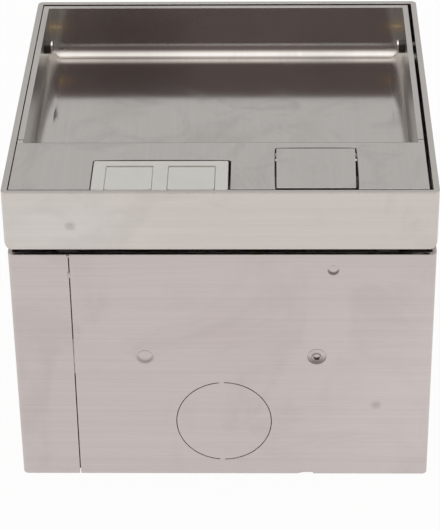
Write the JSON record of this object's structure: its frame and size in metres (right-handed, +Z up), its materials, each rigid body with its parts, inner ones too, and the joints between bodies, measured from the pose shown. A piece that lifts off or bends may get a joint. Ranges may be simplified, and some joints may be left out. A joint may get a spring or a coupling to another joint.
{
  "type": "floor socket box",
  "caption": "Square stainless floor socket box with a levelling collar, a recessed hinged lid for a tile, a cord flap, a white cable outlet with doors, and socket and data outlets inside.",
  "frame": {"origin": "centre of the underside of the box, on the floor that it stands on", "axes": "+Z up through the lid, -Y towards the wall with the seam and the cable outlets, +X to the right seen from there"},
  "size_m": [0.145, 0.145, 0.1164],
  "materials": {
    "box_steel": "fine horizontal brushing, stainless",
    "collar_steel": "fine brushing, stainless",
    "lid_steel": "satin stainless, mirror-like inside the recess",
    "inner_steel": "plain zinc-plated sheet",
    "screw_steel": "bright nickel-plated steel",
    "white_plastic": "moulded white, satin gloss",
    "grey_plastic": "moulded grey, fine grain",
    "black_plastic": "moulded black",
    "shutter_plastic": "moulded white",
    "brass": "bare brass",
    "rubber": "soft black rubber"
  },
  "bodies": {
    "box": {"box_shell": "box_steel", "seam_strap": "inner_steel", "base_pan": "inner_steel", "box_tabs": "inner_steel", "level_nuts": "screw_steel", "front_rail": "inner_steel", "rear_rail": "inner_steel", "rail_rivets": "screw_steel", "rail_nuts": "screw_steel", "pan_head_screws": "screw_steel", "module_carrier": "inner_steel", "data_cover": "white_plastic", "data_base": "grey_plastic", "data_jacks": "black_plastic", "divider": "inner_steel", "earth_stud": "brass", "earth_nuts": "brass", "socket_cover_left": "white_plastic", "socket_base_left": "grey_plastic", "socket_contacts_left": "brass", "socket_earth_left": "brass", "socket_cover_right": "white_plastic", "socket_base_right": "grey_plastic", "socket_contacts_right": "brass", "socket_earth_right": "brass"},
    "collar": {"collar": "collar_steel", "guide_tongues": "inner_steel", "level_screws": "screw_steel", "hinge_pins": "screw_steel", "hinge_clips": "screw_steel", "lid_rests": "inner_steel", "lid_buffers": "rubber", "outlet_bracket": "inner_steel", "outlet_insert": "white_plastic"},
    "lid": {"lid_tray": "lid_steel", "lid_bushes": "black_plastic", "flap_stops": "inner_steel"},
    "cord_flap": {"cord_flap": "lid_steel", "flap_pins": "screw_steel"},
    "outlet_door_left": {"outlet_door_left": "white_plastic"},
    "outlet_door_right": {"outlet_door_right": "white_plastic"},
    "socket_shutter_left": {"socket_shutter_left": "shutter_plastic"},
    "socket_shutter_right": {"socket_shutter_right": "shutter_plastic"},
    "data_flap_front": {"data_flap_front": "white_plastic"},
    "data_flap_rear": {"data_flap_rear": "white_plastic"}
  },
  "joints": [
    {"name": "collar_level", "type": "slide", "parent": "box", "child": "collar", "axis": [0, 0, 1], "range_m": [0, 0.008]},
    {"name": "lid_hinge", "type": "hinge", "parent": "collar", "child": "lid", "pos_m": [0, 0.0445, 0.1112], "axis": [-1, 0, 0], "range_deg": [0, 90]},
    {"name": "flap_hinge", "type": "hinge", "parent": "lid", "child": "cord_flap", "pos_m": [0, -0.04941, 0.1154], "axis": [-1, 0, 0], "range_deg": [0, 95]},
    {"name": "outlet_door_left_hinge", "type": "hinge", "parent": "collar", "child": "outlet_door_left", "pos_m": [-0.03056, -0.0556, 0.1153], "axis": [-1, 0, 0], "range_deg": [0, 100]},
    {"name": "outlet_door_right_hinge", "type": "hinge", "parent": "collar", "child": "outlet_door_right", "pos_m": [-0.00964, -0.0556, 0.1153], "axis": [-1, 0, 0], "range_deg": [0, 100]},
    {"name": "socket_shutter_left_slide", "type": "slide", "parent": "box", "child": "socket_shutter_left", "axis": [1, 0, 0], "range_m": [0, 0.0056], "stiffness_N_per_m": 60, "springref_m": -0.001},
    {"name": "socket_shutter_right_slide", "type": "slide", "parent": "box", "child": "socket_shutter_right", "axis": [1, 0, 0], "range_m": [0, 0.0056], "stiffness_N_per_m": 60, "springref_m": -0.001},
    {"name": "data_flap_front_hinge", "type": "hinge", "parent": "box", "child": "data_flap_front", "pos_m": [0.0454, -0.016, 0.0458], "axis": [1, 0, 0], "range_deg": [0, 100]},
    {"name": "data_flap_rear_hinge", "type": "hinge", "parent": "box", "child": "data_flap_rear", "pos_m": [0.0454, 0.016, 0.0458], "axis": [-1, 0, 0], "range_deg": [0, 100]}
  ]
}
